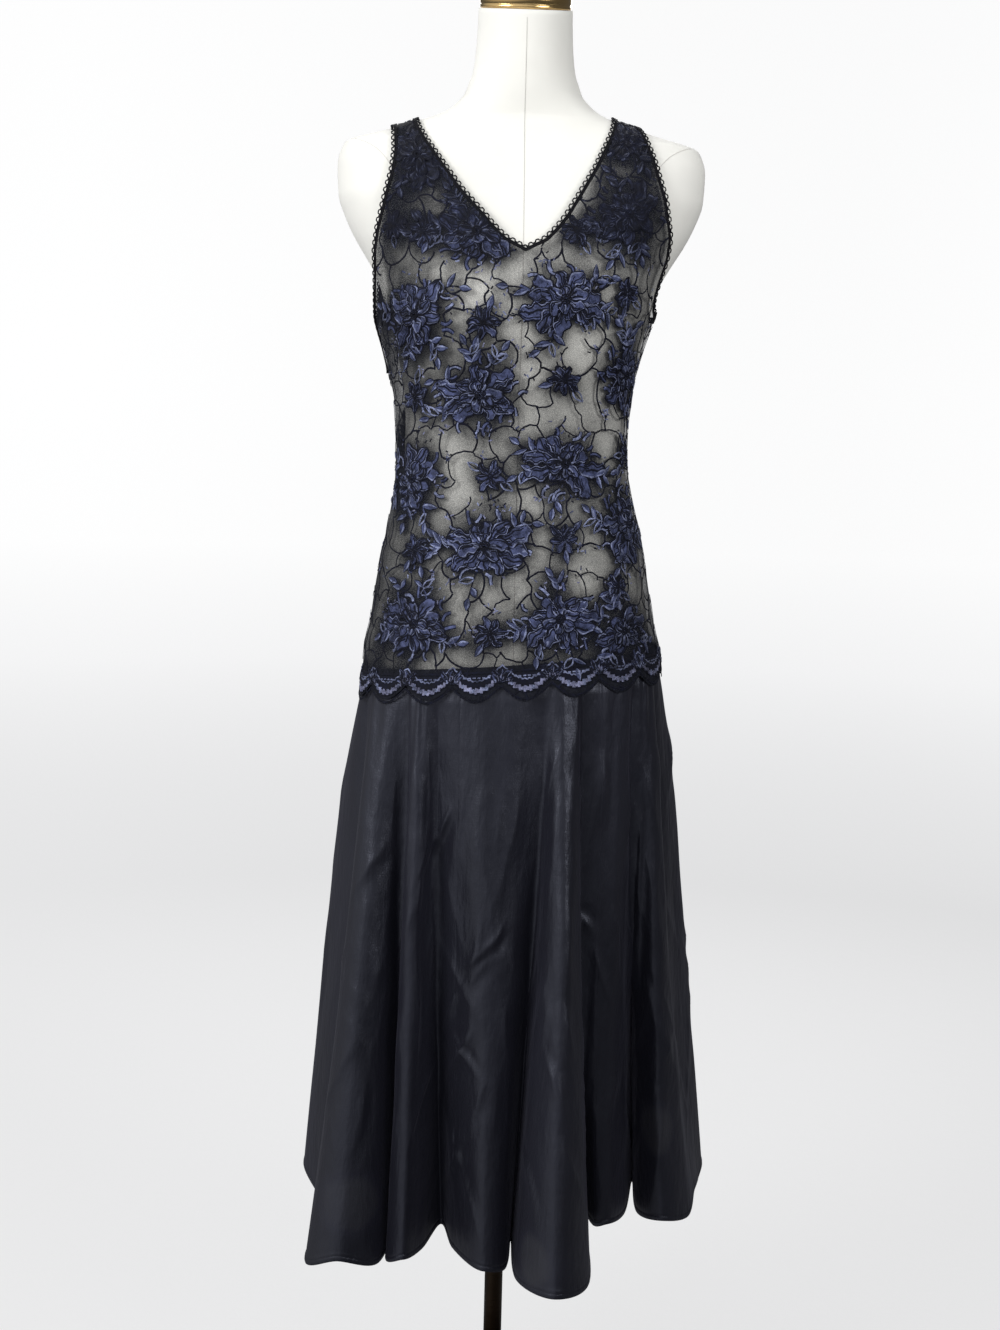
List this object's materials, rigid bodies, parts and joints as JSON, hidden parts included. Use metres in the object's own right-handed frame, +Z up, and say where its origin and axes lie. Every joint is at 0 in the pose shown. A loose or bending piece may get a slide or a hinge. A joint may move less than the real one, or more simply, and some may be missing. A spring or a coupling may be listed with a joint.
{
  "type": "lace maxi dress on a limbless dress form",
  "caption": "Sleeveless V-neck lace maxi dress with a flared satin skirt, worn by a linen dress form on a pole and round base.",
  "frame": {"origin": "centre of the base's underside, on the axis of the pole", "axes": "+Z up along the pole; -Y is the front of the dress; +X is on the right of someone who looks at the front"},
  "size_m": [0.467, 0.421, 1.5874],
  "materials": {
    "linen_cover": "white linen cover, plain weave, matt",
    "brass_cap": "turned, lacquered brass, glossy",
    "bronze_stand": "dark bronze, semi-gloss",
    "lace": "black net with raised blue-navy floral embroidery",
    "picot_edging": "looped black thread edging",
    "satin_skirt": "dark navy satin, soft sheen"
  },
  "bodies": {
    "root": {"stand_base": "bronze_stand", "stand_collar": "bronze_stand", "stand_pole": "bronze_stand", "form_torso": "linen_cover", "form_neck_cap": "brass_cap", "bodice_front": "lace", "bodice_back": "lace", "neck_edging_front": "picot_edging", "neck_edging_back": "picot_edging", "armhole_edging_left": "picot_edging", "armhole_edging_right": "picot_edging", "skirt_side_left": "satin_skirt", "skirt_front_left": "satin_skirt", "skirt_front_centre": "satin_skirt", "skirt_front_right": "satin_skirt", "skirt_side_right": "satin_skirt", "skirt_back_right": "satin_skirt", "skirt_back_centre": "satin_skirt", "skirt_back_left": "satin_skirt"}
  },
  "joints": []
}
